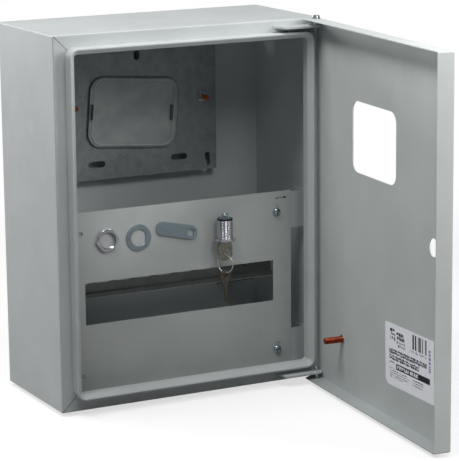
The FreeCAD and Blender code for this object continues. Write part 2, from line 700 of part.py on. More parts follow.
def cam_screw():
    low = LOCK_TOP + COLLAR_GAP
    head_low = CAM_SCREW_TOP - CAM_SCREW_HEAD_HIGH
    head = rod_z(LOCK_X, LOCK_Y, CAM_SCREW_HEAD_R, head_low, CAM_SCREW_TOP)
    top = [e for e in head.Edges if e.BoundBox.ZMin > CAM_SCREW_TOP - 0.01]
    head = head.makeFillet(0.8, top)
    neck = rod_z(LOCK_X, LOCK_Y, CAM_SCREW_HEAD_R - 0.6, low + COLLAR_HIGH, head_low)
    return head.fuse([neck, rod_z(LOCK_X, LOCK_Y, CAM_SCREW_R, low, CAM_SCREW_TOP - 1)]).removeSplitter()


def key_in_lock():
    y0 = LOCK_Y - KEY_THICK / 2
    y1 = LOCK_Y + KEY_THICK / 2
    face = LOCK_FACE - PLUG_PROUD
    low = LOCK_FACE - KEY_BOW_LONG
    bow = rect_y(LOCK_X, (low + face) / 2, KEY_BOW_WIDE, face - low, KEY_BOW_CORNER, y0, y1)
    blade = box(LOCK_X - KEY_BLADE / 2, LOCK_X + KEY_BLADE / 2, y0, y1, face - 1, face + KEY_BLADE_LONG)
    key = bow.fuse(blade).removeSplitter()
    return key.cut(rod_y(LOCK_X, KEY_HOLE_Z, KEY_HOLE_R, y0 - 1, y1 + 1))


def key_ring():
    ring = Part.makeTorus(RING_R, RING_WIRE, V(LOCK_X, LOCK_Y, RING_Z), V(0, 1, 0))
    return turned(ring, LOCK_X, LOCK_Y, RING_TURN)


def spare_key():
    y0 = LOCK_Y - KEY_THICK / 2
    y1 = LOCK_Y + KEY_THICK / 2
    half = SPARE_BLADE / 2
    low = SPARE_BOW_Z - SPARE_NECK
    bow = rod_y(LOCK_X, SPARE_BOW_Z, SPARE_BOW_R, y0, y1)
    neck_wide = math.sqrt(SPARE_BOW_R ** 2 - SPARE_NECK ** 2)
    corners = [(LOCK_X - neck_wide, low), (LOCK_X - half, SPARE_SHOULDER_Z), (LOCK_X - half, SPARE_TIP + 2),
               (LOCK_X, SPARE_TIP), (LOCK_X + half, SPARE_TIP + 2), (LOCK_X + half, SPARE_SHOULDER_Z),
               (LOCK_X + neck_wide, low)]
    blade = plate_y(corners, [0.0] * 7, y0, y1)
    key = bow.fuse(blade).removeSplitter()
    return key.cut(rod_y(LOCK_X, SPARE_HOLE_Z, KEY_HOLE_R, y0 - 1, y1 + 1))


def lock_nut():
    front = PANEL_FRONT - NUT_HIGH
    nut = hexagon(V(NUT_X, front, NUT_Z), "y", NUT_FLATS, NUT_HIGH, 6.0)
    cone = Part.makeCone(NUT_FLATS / 2 * 1.02, NUT_FLATS / 2 * 1.3, NUT_HIGH, V(NUT_X, front, NUT_Z), V(0, 1, 0))
    return nut.common(cone).cut(rod_y(NUT_X, NUT_Z, NUT_HOLE_R, front - 1, PANEL_FRONT + 1))


def lock_washer():
    front = PANEL_FRONT - WASHER_THICK
    disc = rod_y(WASHER_X, WASHER_Z, WASHER_R, front, PANEL_FRONT)
    hole = rod_y(WASHER_X, WASHER_Z, WASHER_HOLE_R, front - 1, PANEL_FRONT + 1)
    hole = hole.common(box(WASHER_X - 20, WASHER_X + WASHER_FLAT, front - 1, PANEL_FRONT + 1,
                           WASHER_Z - 20, WASHER_Z + 20))
    return disc.cut(hole)


def lock_cam():
    front = PANEL_FRONT - CAM_THICK
    cam = rect_y(CAM_X, CAM_Z, CAM_LONG, CAM_WIDE, CAM_CORNER, front, PANEL_FRONT)
    hole_x = CAM_X + CAM_LONG / 2 - CAM_WIDE / 2
    half = CAM_HOLE / 2
    hole = box(hole_x - half, hole_x + half, front - 1, PANEL_FRONT + 1, CAM_Z - half, CAM_Z + half)
    cam = cam.cut(hole)
    cam.rotate(V(CAM_X, 0, CAM_Z), V(0, 1, 0), CAM_TILT)
    return cam


DOOR_SHEET = door_sheet()

NODES = {
    "body_shell": body_shell(),
    "hinge_leaf_upper": hinge_leaf(),
    "hinge_leaf_lower": mirrored_z(hinge_leaf()),
    "hinge_screw_upper": hinge_screw(),
    "hinge_screw_lower": mirrored_z(hinge_screw()),
    "door_panel": door_piece("face"),
    "door_flange_top": door_piece("top"),
    "door_flange_bottom": door_piece("bottom"),
    "door_flange_free": door_piece("free"),
    "door_flange_hinge": door_piece("hinge"),
    "door_earth_stud": door_earth_stud(),
    "door_stud_washer": door_stud_washer(),
    "door_label": door_label(),
    "meter_plate": meter_plate(),
    "plate_studs": plate_studs(),
    "plate_washers": plate_washers(),
    "plate_nuts": plate_nuts(),
    "inner_panel": inner_panel(),
    "panel_bracket_upper_left": panel_bracket("upper", "left"),
    "panel_bracket_upper_right": panel_bracket("upper", "right"),
    "panel_bracket_lower_left": panel_bracket("lower", "left"),
    "panel_bracket_lower_right": panel_bracket("lower", "right"),
    "panel_screws": panel_screws(),
    "din_rail": din_rail(),
    "rail_support_left": rail_support("left"),
    "rail_support_right": rail_support("right"),
    "rail_screws": rail_screws(),
    "window_pane": window_pane(),
    "lock_body": lock_body(),
    "lock_plug": lock_plug(),
    "lock_collar": lock_collar(),
    "cam_screw": cam_screw(),
    "key_in_lock": key_in_lock(),
    "key_ring": key_ring(),
    "spare_key": spare_key(),
    "lock_nut": lock_nut(),
    "lock_washer": lock_washer(),
    "lock_cam": lock_cam(),
}

os.makedirs("parts", exist_ok=True)
for name, shape in NODES.items():
    shape.exportStep("parts/" + name + ".step")
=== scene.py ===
import json
import math

import bmesh
import bpy
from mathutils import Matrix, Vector


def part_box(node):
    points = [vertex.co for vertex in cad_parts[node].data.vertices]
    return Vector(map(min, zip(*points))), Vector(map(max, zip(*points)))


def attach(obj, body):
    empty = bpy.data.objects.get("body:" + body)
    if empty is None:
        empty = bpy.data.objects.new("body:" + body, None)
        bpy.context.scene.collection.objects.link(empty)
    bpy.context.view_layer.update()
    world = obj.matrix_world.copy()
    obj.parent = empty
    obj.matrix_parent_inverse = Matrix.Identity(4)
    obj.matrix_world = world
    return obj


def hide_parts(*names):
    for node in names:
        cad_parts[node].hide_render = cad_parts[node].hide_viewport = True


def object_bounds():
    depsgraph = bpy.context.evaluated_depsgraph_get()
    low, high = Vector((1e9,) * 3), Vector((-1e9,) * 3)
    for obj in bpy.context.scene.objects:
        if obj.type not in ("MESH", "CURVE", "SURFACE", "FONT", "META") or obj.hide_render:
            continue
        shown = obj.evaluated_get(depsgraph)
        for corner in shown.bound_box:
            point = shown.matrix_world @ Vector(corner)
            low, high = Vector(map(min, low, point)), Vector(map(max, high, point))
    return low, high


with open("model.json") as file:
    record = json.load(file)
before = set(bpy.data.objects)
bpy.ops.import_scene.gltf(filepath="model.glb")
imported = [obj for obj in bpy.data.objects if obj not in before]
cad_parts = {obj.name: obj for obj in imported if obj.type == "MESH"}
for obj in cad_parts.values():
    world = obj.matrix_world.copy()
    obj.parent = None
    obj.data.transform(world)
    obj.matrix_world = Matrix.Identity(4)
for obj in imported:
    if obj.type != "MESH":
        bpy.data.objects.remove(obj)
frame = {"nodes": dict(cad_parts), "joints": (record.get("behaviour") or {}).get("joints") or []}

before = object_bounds()
MM = 0.001
NODES = frame["nodes"]
JOINTS = {joint["name"]: joint for joint in frame["joints"]}


# Places read from the frame, in millimetres: X right, Y into the wall, Z up

def tenth(metres):
    return round(metres / MM, 1)


def low_of(node):
    """Lowest corner of a node."""
    return [tenth(v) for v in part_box(node)[0]]


def high_of(node):
    """Highest corner of a node."""
    return [tenth(v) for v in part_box(node)[1]]


def middle_of(node):
    low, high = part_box(node)
    return [tenth((a + b) / 2) for a, b in zip(low, high)]


def ends_of(node, r):
    """Axes of a node's two equal screws or studs of radius r, the upper or left one first."""
    low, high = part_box(node)
    r *= MM
    return (tenth(low.x + r), tenth(high.z - r)), (tenth(high.x - r), tenth(low.z + r))


HALF_W, _, HALF_H = high_of("body_shell")
FRONT = high_of("hinge_leaf_upper")[1]
PANEL_FRONT = low_of("inner_panel")[1]
PLATE_FRONT = low_of("meter_plate")[1]
PIN_X, PIN_Y, _ = [tenth(v) for v in JOINTS["door_hinge"]["pos_m"]]
DOOR_ANGLE = math.radians(-JOINTS["door_hinge"]["range_deg"][0])
LOCK_X, LOCK_Y, _ = [tenth(v) for v in JOINTS["lock_turn"]["pos_m"]]

# Places on the closed door: inner face of its sheet, earth stud, middle and lean of the sticker
DOOR_INNER = -164.0
EARTH_X = 90.3
EARTH_Z = -141.5
STICKER_X = -69.0
STICKER_Z = -128.1
STICKER_LEAN = 1.7


# Materials

def srgb(*levels):
    """Colour written as 0 to 255 screen values."""
    out = []
    for level in levels:
        c = level / 255.0
        out.append(c / 12.92 if c <= 0.04045 else ((c + 0.055) / 1.055) ** 2.4)
    return (*out, 1.0)


def add_node(tree, kind, **inputs):
    """New shader node with values written on its sockets."""
    node = tree.nodes.new("ShaderNode" + kind)
    for name, value in inputs.items():
        node.inputs[name].default_value = value
    return node


class Nodes:
    """Short way to build one material's node tree."""

    SOCKETS = {"color": "Base Color", "rough": "Roughness", "metal": "Metallic", "normal": "Normal",
               "alpha": "Alpha", "specular": "Specular IOR Level", "glow_color": "Emission Color",
               "glow": "Emission Strength"}
    NOISE_LOW = 0.3
    NOISE_HIGH = 0.7

    def __init__(self, name):
        self.mat = bpy.data.materials.new(name)
        self.mat.use_nodes = True
        self.tree = self.mat.node_tree
        self.shader = self.tree.nodes["Principled BSDF"]
        self.coord = add_node(self.tree, "TexCoord").outputs["Object"]

    def give(self, value, socket):
        """Link an output to a socket, or write a plain value on it."""
        if hasattr(value, "is_output"):
            self.tree.links.new(value, socket)
        else:
            socket.default_value = value

    def noise(self, scale, detail=4.0, rough=0.6, distortion=0.0):
        n = add_node(self.tree, "TexNoise", Scale=scale, Detail=detail, Roughness=rough,
                     Distortion=distortion)
        self.give(self.coord, n.inputs["Vector"])
        return n.outputs["Fac"]

    def cells(self, scale):
        n = add_node(self.tree, "TexVoronoi", Scale=scale)
        self.give(self.coord, n.inputs["Vector"])
        return n.outputs["Color"]

    def ramp(self, fac, dark, light, low=0.35, high=0.65):
        r = add_node(self.tree, "ValToRGB")
        for element, place, colour in zip(r.color_ramp.elements, (low, high), (dark, light)):
            element.position = place
            element.color = colour
        self.give(fac, r.inputs["Fac"])
        return r.outputs["Color"]

    def spread(self, fac, low, high):
        """Noise spread over a range of roughness or alpha."""
        m = add_node(self.tree, "MapRange", **{"From Min": self.NOISE_LOW, "From Max": self.NOISE_HIGH,
                                               "To Min": low, "To Max": high})
        self.give(fac, m.inputs["Value"])
        return m.outputs["Result"]

    def mix(self, fac, a, b):
        m = add_node(self.tree, "Mix")
        m.data_type = "RGBA"
        for value, socket in ((fac, m.inputs[0]), (a, m.inputs[6]), (b, m.inputs[7])):
            self.give(value, socket)
        return m.outputs[2]

    def bump(self, height, strength, distance, under=None):
        b = add_node(self.tree, "Bump", Strength=strength, Distance=distance)
        self.give(height, b.inputs["Height"])
        if under is not None:
            self.give(under, b.inputs["Normal"])
        return b.outputs["Normal"]

    def finish(self, **values):
        for key, value in values.items():
            self.give(value, self.shader.inputs[self.SOCKETS[key]])
        return self.mat


def powder_coat(name, light, dark, rough=0.42):
    """Baked powder paint: orange peel, faint cloudiness, a little dust in the tone."""
    n = Nodes(name)
    cloud = n.noise(14.0, detail=3.0, rough=0.55)
    speck = n.noise(900.0, detail=2.0, rough=0.5)
    dusty = n.mix(0.12, n.ramp(cloud, dark, light), n.ramp(speck, dark, light, high=0.62))
    peel = n.bump(n.noise(520.0, detail=2.0, rough=0.5), strength=0.16, distance=0.0002)
    fine = n.bump(speck, strength=0.08, distance=0.0001, under=peel)
    gloss = n.spread(n.noise(60.0, detail=3.0), rough - 0.05, rough + 0.08)
    return n.finish(color=dusty, rough=gloss, normal=fine, specular=0.45)


def galvanised(name, light, dark, rough=0.45, metal=0.75):
    """Zinc dipped sheet: crystal spangle, blotches and fine grain."""
    n = Nodes(name)
    spangle = n.ramp(n.cells(150.0), dark, light, 0.0, 1.0)
    blotch = n.ramp(n.noise(26.0, detail=5.0, rough=0.65, distortion=0.6), dark, light, high=0.66)
    grain = n.noise(420.0, detail=3.0, rough=0.7)
    color = n.mix(0.3, n.mix(0.55, spangle, blotch), n.ramp(grain, dark, light, 0.3, 0.7))
    gloss = n.spread(n.noise(35.0), rough - 0.08, rough + 0.12)
    lift = n.bump(grain, strength=0.12, distance=0.0002)
    return n.finish(color=color, metal=metal, rough=gloss, normal=lift)


def plated(name, light, dark, rough=0.25, metal=1.0):
    """Plated steel: fine mottle and small stains."""
    n = Nodes(name)
    mottle = n.noise(300.0, detail=3.0)
    gloss = n.spread(n.noise(240.0, detail=3.0), rough - 0.06, rough + 0.1)
    return n.finish(color=n.ramp(mottle, dark, light, 0.3, 0.7), metal=metal, rough=gloss,
                    normal=n.bump(mottle, strength=0.06, distance=0.0001))


def plain_film(name, light, dark, rough=0.5, glow=0.0):
    """Smooth plastic or printed film; its emission is painted light that makes a film look brighter than the
    lamps make it.
    """
    n = Nodes(name)
    scale = 500.0
    grain = n.noise(scale, detail=2.0, rough=0.5)
    gloss = n.spread(n.noise(scale / 3.0), rough - 0.05, rough + 0.05)
    return n.finish(color=n.ramp(grain, dark, light), rough=gloss, glow_color=light, glow=glow,
                    normal=n.bump(grain, strength=0.04, distance=0.00005))


def clear_plastic(name, thin, thick):
    """Moulded clear pane with faint haze and handling marks; thin and thick are its alpha's ends."""
    n = Nodes(name)
    haze = n.noise(30.0, detail=3.0, rough=0.5, distortion=0.4)
    fine = n.noise(300.0, detail=3.0, rough=0.7)
    tint = n.ramp(haze, srgb(206, 212, 212), srgb(232, 236, 235), 0.3, 0.7)
    return n.finish(color=tint, rough=n.spread(fine, 0.1, 0.28), alpha=n.spread(haze, thin, thick),
                    specular=0.7, normal=n.bump(fine, strength=0.03, distance=0.0001))


CABINET = powder_coat("cabinet_paint", srgb(206, 211, 211), srgb(198, 203, 203))
DOOR = powder_coat("door_paint", srgb(218, 223, 222), srgb(210, 216, 215))
# Painted shade: a darker copy of the door paint, for the bottom flange where less light falls.
DOOR_PAINTED_SHADE = powder_coat("door_paint_painted_shade", srgb(182, 188, 187), srgb(174, 180, 179))
PANEL = powder_coat("panel_paint", srgb(198, 202, 201), srgb(187, 192, 191), 0.5)
GALVANISED = galvanised("galvanised_plate", srgb(168, 174, 176), srgb(128, 134, 136), 0.5, 0.5)
BRACKET_STEEL = galvanised("galvanised_support", srgb(140, 143, 142), srgb(104, 108, 108))
RAIL = galvanised("rail_steel", srgb(150, 153, 151), srgb(122, 125, 123), 0.4, 0.6)
# Painted highlight: pale zinc for the bead on the rail's lower lip.
RAIL_EDGE_HIGHLIGHT = plated("rail_edge_painted_highlight", srgb(232, 235, 235), srgb(210, 214, 214), 0.3, 0.4)
ZINC = plated("zinc", srgb(198, 205, 212), srgb(150, 158, 168), 0.24)
SCREW_ZINC = plated("screw_zinc", srgb(186, 202, 208), srgb(150, 170, 178), 0.16)
BLUE_ZINC = plated("blue_zinc", srgb(174, 189, 197), srgb(164, 178, 187), 0.37)
PALE_ZINC = plated("pale_zinc", srgb(214, 214, 208), srgb(176, 178, 176), 0.35)
CHROME = plated("lock_chrome", srgb(226, 226, 230), srgb(204, 204, 210), 0.12)
NICKEL = plated("key_nickel", srgb(176, 172, 162), srgb(132, 128, 118), 0.3)
OLD_NICKEL = plated("old_nickel", srgb(118, 112, 102), srgb(92, 87, 78), 0.42)
RING_NICKEL = plated("ring_nickel", srgb(238, 234, 226), srgb(214, 210, 202), 0.3)
COPPER = plated("copper", srgb(196, 110, 72), srgb(140, 66, 40), 0.3)
DARK_COPPER = plated("dark_copper", srgb(178, 84, 56), srgb(116, 52, 36), 0.3)
BLACK = plain_film("dark_plastic", srgb(34, 34, 37), srgb(20, 20, 23), 0.4)
# The label film's emission is painted light: it lifts the film above what the lamps give it.
FILM = plain_film("label_film", srgb(238, 240, 246), srgb(230, 232, 239), 0.45, glow=0.17)
INK_BLACK = plain_film("ink_black", srgb(30, 30, 34), srgb(22, 22, 26))
# The grey and violet inks carry a little emission too: painted light.
INK_GREY = plain_film("ink_grey", srgb(150, 150, 158), srgb(132, 132, 142), glow=0.04)
INK_PURPLE = plain_film("ink_purple", srgb(150, 146, 206), srgb(134, 130, 192), glow=0.06)
PANE = clear_plastic("clear_pane", 0.34, 0.42)
# Painted highlight: the rim's pale, nearly opaque plastic stands in for the light its edges catch.
PANE_RIM_HIGHLIGHT = clear_plastic("pane_rim_painted_highlight", 0.75, 0.95)
# Painted shade: a dark opaque edge for the darkening at the pane's refracting border.
PANE_EDGE_SHADE = plain_film("pane_edge_painted_shade", srgb(84, 90, 92), srgb(66, 71, 73), 0.25)
PANE_CLIP = plain_film("pane_clip", srgb(104, 109, 112), srgb(84, 88, 91), 0.3)
SEAM = plain_film("flange_seam", srgb(112, 116, 117), srgb(96, 100, 101), 0.6)

NODES_BY_MATERIAL = (
    (CABINET, ("body_shell", "hinge_leaf_upper", "hinge_leaf_lower", "panel_bracket_upper_left",
               "panel_bracket_upper_right", "panel_bracket_lower_left", "panel_bracket_lower_right")),
    (DOOR, ("door_panel", "door_flange_top", "door_flange_free", "door_flange_hinge")),
    # The bottom flange gets the darker copy of the door paint: painted shade.
    (DOOR_PAINTED_SHADE, ("door_flange_bottom",)),
    (PANEL, ("inner_panel",)),
    (GALVANISED, ("meter_plate",)),
    (BRACKET_STEEL, ("rail_support_left", "rail_support_right")),
    (RAIL, ("din_rail",)),
    (ZINC, ("hinge_screw_upper", "hinge_screw_lower", "plate_washers", "plate_nuts", "panel_screws",
            "rail_screws", "cam_screw", "lock_washer", "lock_cam")),
    (PALE_ZINC, ("door_stud_washer",)),
    (CHROME, ("lock_body", "lock_plug", "lock_nut")),
    (NICKEL, ("key_in_lock", "spare_key")),
    (RING_NICKEL, ("key_ring",)),
    (COPPER, ("plate_studs",)),
    (DARK_COPPER, ("door_earth_stud",)),
    (BLACK, ("lock_collar",)),
    (FILM, ("door_label",)),
    (PANE, ("window_pane",)),
)
for material, names in NODES_BY_MATERIAL:
    for name in names:
        NODES[name].data.materials.clear()
        NODES[name].data.materials.append(material)


# Faces that pieces are put on: each turns (a, b, h) into a place in millimetres

def put_out(x, y, z, lean=0.0):
    """Face that looks to -Y: a right, b up, h out of the face."""
    c = math.cos(math.radians(lean))
    s = math.sin(math.radians(lean))
    return lambda a, b, h: (x + a * c + b * s, y - h, z - a * s + b * c)


def put_on_lock(z):
    """Level face on the lock's axis: a right, b back, h up."""
    return lambda a, b, h: (LOCK_X + a, LOCK_Y + b, z + h)


def put_on_door(x, z, lean=0.0):
    """Inner face of the open door, with x and z as on the closed one."""
    flat = put_out(x, DOOR_INNER, z, lean)
    turn_c = math.cos(DOOR_ANGLE)
    turn_s = math.sin(DOOR_ANGLE)

    def put(a, b, h):
        along, across, up = flat(a, b, -h)
        dx = along - PIN_X
        dy = across - PIN_Y
        return PIN_X + turn_c * dx - turn_s * dy, PIN_Y + turn_s * dx + turn_c * dy, up
    return put


# Solids

def rings(bm, put, rows, count=32, closed=False):
    """Skin through rows round one axis; a row is (radius, height) or a function of the angle."""
    lines = []
    for row in rows:
        if not callable(row) and row[0] == 0:
            lines.append([bm.verts.new(put(0, 0, row[1]))])
            continue
        line = []
        for i in range(count):
            t = math.tau * i / count
            r, h = row(t) if callable(row) else row
            line.append(bm.verts.new(put(r * math.cos(t), r * math.sin(t), h)))
        lines.append(line)
    pairs = list(zip(lines, lines[1:]))
    if closed:
        pairs.append((lines[-1], lines[0]))
    for a, b in pairs:
        for i in range(count):
            j = (i + 1) % count
            if len(a) == 1:
                bm.faces.new((a[0], b[j], b[i]))
            elif len(b) == 1:
                bm.faces.new((a[i], a[j], b[0]))
            else:
                bm.faces.new((a[i], a[j], b[j], b[i]))


def band_between(bm, low, high):
    for i in range(len(low)):
        j = (i + 1) % len(low)
        bm.faces.new((low[i], low[j], high[j], high[i]))


def prism(bm, put, levels):
    """Solid through outlines of equal length, given as (points, height), flat at both ends."""
    loops = [[bm.verts.new(put(a, b, h)) for a, b in points] for points, h in levels]
    bm.faces.new(list(reversed(loops[0])))
    bm.faces.new(loops[-1])
    for low, high in zip(loops, loops[1:]):
        band_between(bm, low, high)


def hoop(bm, put, loops, steps=10):
    """Closed hoop through rounded rectangles, each with its width, height, corner and lift."""
    rows = [[bm.verts.new(put(a, b, lift)) for a, b in rounded(w, h, r, steps)] for w, h, r, lift in loops]
    for row, after in zip(rows, rows[1:] + rows[:1]):
        band_between(bm, row, after)


def corners(arcs, steps=8):
    """Outline with four round corners, each (middle a, middle b, radius), from the upper right one on."""
    points = []
    for quarter, (a, b, r) in enumerate(arcs):
        for i in range(steps + 1):
            t = math.pi / 2 * (quarter + i / steps)
            points.append((a + r * math.cos(t), b + r * math.sin(t)))
    return points


def rounded(w, h, r, steps=8, a=0.0, b=0.0):
    """Rounded rectangle round the place (a, b)."""
    right = a + w / 2 - r
    left = a - w / 2 + r
    top = b + h / 2 - r
    foot = b - h / 2 + r
    return corners(((right, top, r), (left, top, r), (left, foot, r), (right, foot, r)), steps)


def cut(bm, tool):
    """What is left of a solid after the tool is taken out of it."""
    pair = []
    for part in (bm, tool):
        bmesh.ops.recalc_face_normals(part, faces=part.faces)
        mesh = bpy.data.meshes.new("cutting")
        part.to_mesh(mesh)
        part.free()
        obj = bpy.data.objects.new("cutting", mesh)
        bpy.context.scene.collection.objects.link(obj)
        pair.append(obj)
    taken = pair[0].modifiers.new("cut", "BOOLEAN")
    taken.operation = "DIFFERENCE"
    taken.solver = "EXACT"
    taken.object = pair[1]
    graph = bpy.context.evaluated_depsgraph_get()
    left = bmesh.new()
    left.from_mesh(pair[0].evaluated_get(graph).to_mesh())
    for obj in pair:
        mesh = obj.data
        bpy.data.objects.remove(obj)
        bpy.data.meshes.remove(mesh)
    return left


def soften(bm, width, sharper=50):
    """Round every edge that is sharper than an angle in degrees."""
    edges = [e for e in bm.edges if len(e.link_faces) == 2 and e.calc_face_angle(0) > math.radians(sharper)]
    bmesh.ops.bevel(bm, geom=edges, offset=width, segments=2, affect="EDGES", profile=0.6)


def add_piece(name, bm, material, body, replaced=()):
    bmesh.ops.recalc_face_normals(bm, faces=bm.faces)
    bmesh.ops.scale(bm, vec=(MM, MM, MM), verts=bm.verts)
    mesh = bpy.data.meshes.new(name)
    bm.to_mesh(mesh)
    bm.free()
    mesh.materials.append(material)
    for face in mesh.polygons:
        face.use_smooth = True
    mesh.set_sharp_from_angle(angle=math.radians(35))
    obj = bpy.data.objects.new(name, mesh)
    bpy.context.scene.collection.objects.link(obj)
    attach(obj, body)
    if replaced:
        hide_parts(*replaced)


# Screws and studs

ROWS_PER_TURN = 6
PAN_HEAD = ((0, 3.0), (2.0, 3.0), (3.1, 2.85), (3.9, 2.4), (4.4, 1.6), (4.6, 0.7), (4.6, 0.0))
PAN_R = 4.6
PAN_HIGH = 3.0
PAN_CROSS = 2.9
CROSS_HALF = 0.55
CROSS_DEEP = 1.9
STUD_RUNOUT = 0.2
STUD_TIP = 0.6


def thread_rows(r, depth, pitch, low, high, limit, shape=None):
    """Rows of a right-hand thread; limit(h) holds the radius down at its ends."""
    steps = int((high - low) / pitch * ROWS_PER_TURN)
    rows = []
    for k in range(steps + 1):
        h = low + (high - low) * k / steps

        def row(t, h=h):
            turn = (h / pitch - t / math.tau) % 1.0
            out = min(r - depth * (1 - abs(2 * turn - 1)), limit(h))
            return (shape(t, out) if shape else out), h
        rows.append(row)
    return rows


def cross_tool(put, top, arm):
    """Cross recess that narrows with its depth."""
    def plus(k):
        a = arm * k
        w = CROSS_HALF
        return [(a, -w), (a, w), (w, w), (w, a), (-w, a), (-w, w), (-a, w), (-a, -w), (-w, -w), (-w, -a),
                (w, -a), (w, -w)]
    tool = bmesh.new()
    prism(tool, put, [(plus(0.5), top - CROSS_DEEP), (plus(1.0), top), (plus(1.05), top + 0.6)])
    return tool


def pan_screws(name, node, shank_r, turns):
    """Two cross-head pan screws in the place of a node; turns are the angles of their crosses."""
    seat = round(low_of(node)[1] + PAN_HIGH, 1)
    long = round(high_of(node)[1] - seat, 1)
    shank = [(shank_r, 0.0), (shank_r, -long), (0, -long)]
    whole = bmesh.new()
    for (x, z), turn in zip(ends_of(node, PAN_R), turns):
        put = put_out(x, seat, z, turn)
        screw = bmesh.new()
        rings(screw, put, [*PAN_HEAD, *shank])
        screw = cut(screw, cross_tool(put, PAN_HIGH, PAN_CROSS))
        mesh = bpy.data.meshes.new("joining")
        screw.to_mesh(mesh)
        screw.free()
        whole.from_mesh(mesh)
        bpy.data.meshes.remove(mesh)
    add_piece(name, whole, SCREW_ZINC, "cabinet", (node,))


def weld_stud(bm, put, r, plain, long, depth, pitch):
    """Stud with a plain foot, then a thread that ends in a small chamfer."""
    foot = [(0, 0.0), (r, 0.0), (r, plain)]
    thread = thread_rows(r, depth, pitch, plain + STUD_RUNOUT, long,
                         lambda h: r - max(0.0, h - (long - STUD_TIP)))
    rings(bm, put, [*foot, *thread, (0, long)], 24)


def plate_studs():
    root = high_of("plate_studs")[1]
    long = root - low_of("plate_studs")[1]
    r = 3.0
    studs = bmesh.new()
    for x, z in ends_of("plate_studs", r):
        weld_stud(studs, put_out(x, root, z), r, plain=11.0, long=long, depth=0.55, pitch=1.0)
    add_piece("plate_studs_threaded", studs, COPPER, "cabinet", ("plate_studs",))


def door_earth_stud():
    earth = bmesh.new()
    weld_stud(earth, put_on_door(EARTH_X, EARTH_Z), 3.6, plain=1.6, long=21.0, depth=0.6, pitch=1.25)
    add_piece("door_earth_stud_threaded", earth, DARK_COPPER, "door", ("door_earth_stud",))


def rail_lip_highlight():
    """Painted highlight: a bright bead along the edge of the rail's lower lip, where that edge catches
    light.
    """
    left, front, foot = low_of("din_rail")
    wide = 0.9
    half_long = -left - 0.5
    bead = bmesh.new()
    outline = rounded(wide, wide, 0.44, 3, 0.0, 0.2)
    prism(bead, lambda a, b, h: (h, front + a, foot + b), [(outline, -half_long), (outline, half_long)])
    add_piece("rail_lip_painted_highlight", bead, RAIL_EDGE_HIGHLIGHT, "cabinet")


# Loose lock pieces on the inner panel

NUT_HALF = 11.5
NUT_CONE = 11.6
NUT_TURN = 6.0
NUT_BORE = 8.3
NUT_ROOT = 8.7
WASHER_R = 14.5
WASHER_HOLE = 9.0
WASHER_FLAT = 8.0
CAM_LONG = 49.0
CAM_WIDE = 15.0
CAM_END = 6.9
CAM_THICK = 2.0
CAM_LEAN = 12.5
CAM_HOLE = 7.0
CAM_HOLE_X = 17.0


def put_on_panel(node, lean=0.0):
    """The panel's face, at the middle of a node that lies on it."""
    x, _, z = middle_of(node)
    return put_out(x, PANEL_FRONT, z, lean)


def hexed(lift, cap, slope=0.0):
    """Hexagon row of the nut, held to a round cap and to the chamfer cone."""
    def row(t):
        a = (t - math.radians(NUT_TURN)) % (math.pi / 3) - math.pi / 6
        r = min(NUT_HALF / math.cos(a), cap)
        return r, lift - slope * max(0.0, r - NUT_CONE)
    return row


def lock_nut():
    """Nut with its inner thread and chamfered corners."""
    thread = [(NUT_BORE, 0.0), (NUT_BORE, 0.5), (NUT_ROOT, 0.8), (NUT_BORE, 1.1), (NUT_ROOT, 1.5),
              (NUT_BORE, 1.9), (NUT_ROOT, 2.3)]
    face = [(9.3, 3.0), (10.4, 3.0), hexed(3.0, 11.3)]
    sides = [hexed(2.95, 11.7, 0.5), hexed(2.9, 13.0, 0.5), hexed(2.6, 13.3, 0.9), hexed(0.3, 13.3),
             hexed(0.0, 13.0)]
    nut = bmesh.new()
    rings(nut, put_on_panel("lock_nut"), thread + face + sides, 72, closed=True)
    add_piece("lock_nut_chamfered", nut, CHROME, "cabinet", ("lock_nut",))


def washer_hole(lift, grow=0.0):
    """Row of the washer's hole, flat on one side."""
    def row(t):
        r = WASHER_HOLE
        if math.cos(t) > 0.5:
            r = min(r, WASHER_FLAT / math.cos(t))
        return r + grow, lift
    return row


def lock_washer():
    washer = bmesh.new()
    rows = [washer_hole(0.0), washer_hole(0.9), washer_hole(1.2, 0.3), (13.9, 1.2), (14.35, 1.05),
            (WASHER_R, 0.7), (WASHER_R, 0.0)]
    rings(washer, put_on_panel("lock_washer"), rows, 72, closed=True)
    add_piece("lock_washer_rounded", washer, BLUE_ZINC, "cabinet", ("lock_washer",))


def lock_cam():
    """Cam plate with round ends and a square hole."""
    put = put_on_panel("lock_cam", CAM_LEAN)
    outline = rounded(CAM_LONG, CAM_WIDE, CAM_END)
    square = rounded(CAM_HOLE, CAM_HOLE, 0.6, 3, CAM_HOLE_X)
    cam = bmesh.new()
    prism(cam, put, [(outline, 0.0), (outline, CAM_THICK)])
    hole = bmesh.new()
    prism(hole, put, [(square, -1.0), (square, CAM_THICK + 1.0)])
    cam = cut(cam, hole)
    soften(cam, 0.6)
    add_piece("lock_cam_rounded", cam, BLUE_ZINC, "cabinet", ("lock_cam",))


# The lock with its keys

LOCK_FACE = low_of("lock_body")[2]
LOCK_TOP = high_of("lock_body")[2]
LOCK_R = 9.0
LOCK_CHAMFER_R = 8.3
LOCK_BORE = 6.05
LOCK_FLAT = 8.4
LOCK_GROOVE_R = 7.9
LOCK_GROOVE_AT = 235.0
LOCK_GROOVE_HALF = 5.0
FLANGE_R = 11.5
FLANGE_TOP = round(LOCK_FACE + 3.2, 1)
KEY_HALF_THICK = 0.9
KEY_EDGE = 0.28
KEY_BOW_WIDE = 17.0
KEY_BOW_LONG = 21.2
KEY_BOW_R = 7.4
KEY_BOW_OPEN = 8.9
KEY_NECK = 3.8
KEY_BLADE = 3.4
KEY_TIP = 2.6
SPARE_BLADE = 1.95


